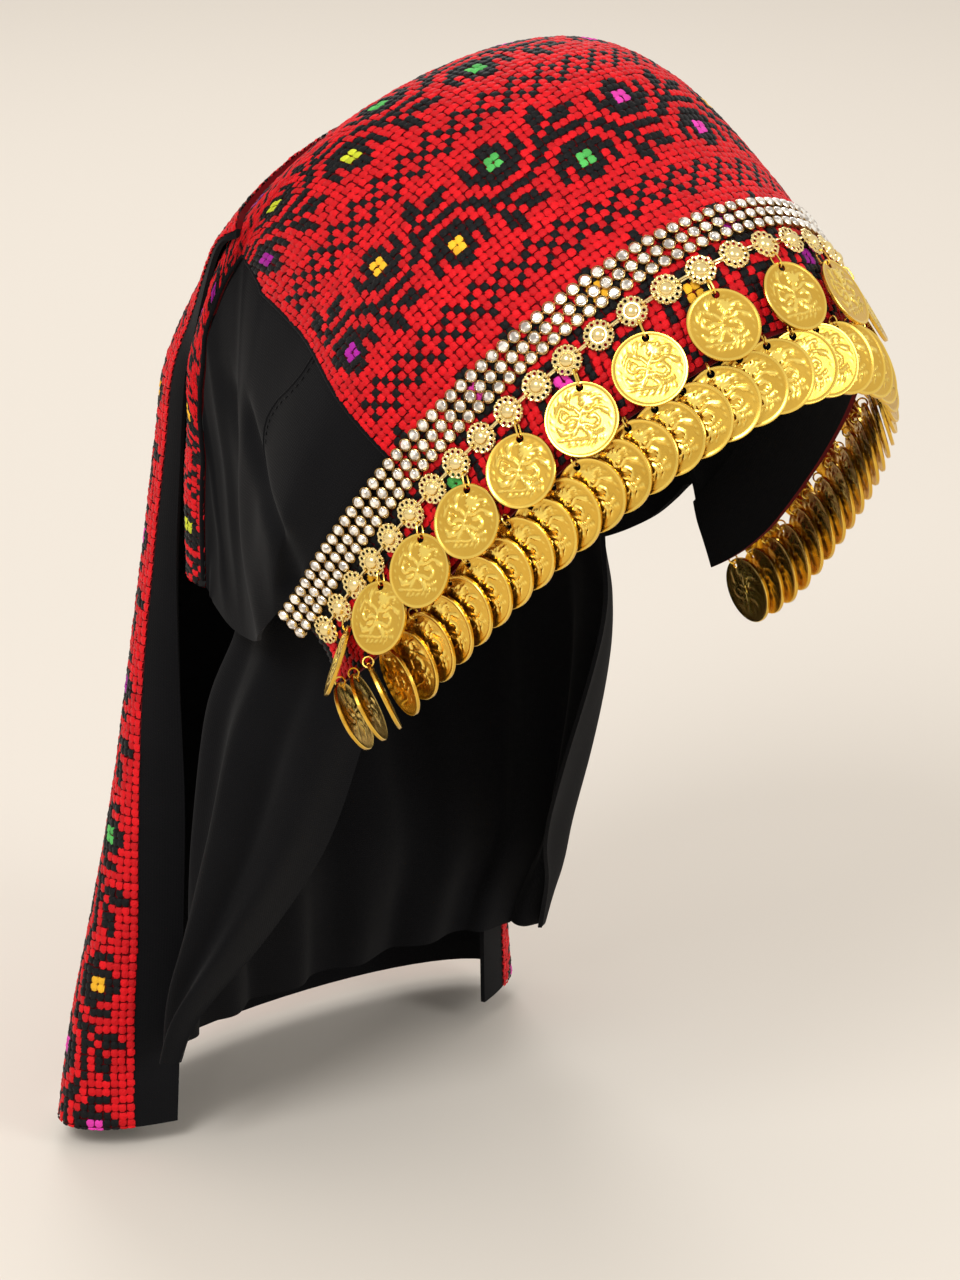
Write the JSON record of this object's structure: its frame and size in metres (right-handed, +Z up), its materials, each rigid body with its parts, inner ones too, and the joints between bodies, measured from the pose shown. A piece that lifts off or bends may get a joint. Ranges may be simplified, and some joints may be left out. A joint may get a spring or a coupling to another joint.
{
  "type": "coin headdress",
  "caption": "Folk headdress: cross-stitched hood with a long back flap and a black veil, edged with a stone trim, a chain of rosettes and two rows of hung gilt coins",
  "frame": {"origin": "middle of the head opening, level with the rosette line at the brow", "axes": "+X is the wearer's left, +Y the back of the head, +Z up"},
  "size_m": [0.1958, 0.2792, 0.3683],
  "materials": {
    "embroidery": "cross stitch",
    "black_cloth": "matt",
    "stones": "cut stones in pale gilt cups",
    "gilt_metal": "satin"
  },
  "bodies": {
    "root": {"crown": "embroidery", "side_right": "black_cloth", "side_left": "black_cloth", "brow_band": "embroidery", "tail": "embroidery", "tail_border_right": "black_cloth", "tail_border_left": "black_cloth", "veil": "black_cloth", "stone_trim": "stones", "rosettes_right": "gilt_metal", "rosettes_left": "gilt_metal", "hem_coins_right": "gilt_metal", "hem_coins_left": "gilt_metal", "coin_01": "gilt_metal", "coin_02": "gilt_metal", "coin_03": "gilt_metal", "coin_04": "gilt_metal", "coin_05": "gilt_metal", "coin_06": "gilt_metal", "coin_07": "gilt_metal", "coin_08": "gilt_metal", "coin_09": "gilt_metal", "coin_10": "gilt_metal", "coin_11": "gilt_metal", "coin_12": "gilt_metal", "coin_13": "gilt_metal", "coin_14": "gilt_metal", "coin_15": "gilt_metal", "coin_16": "gilt_metal", "coin_17": "gilt_metal"}
  },
  "joints": []
}
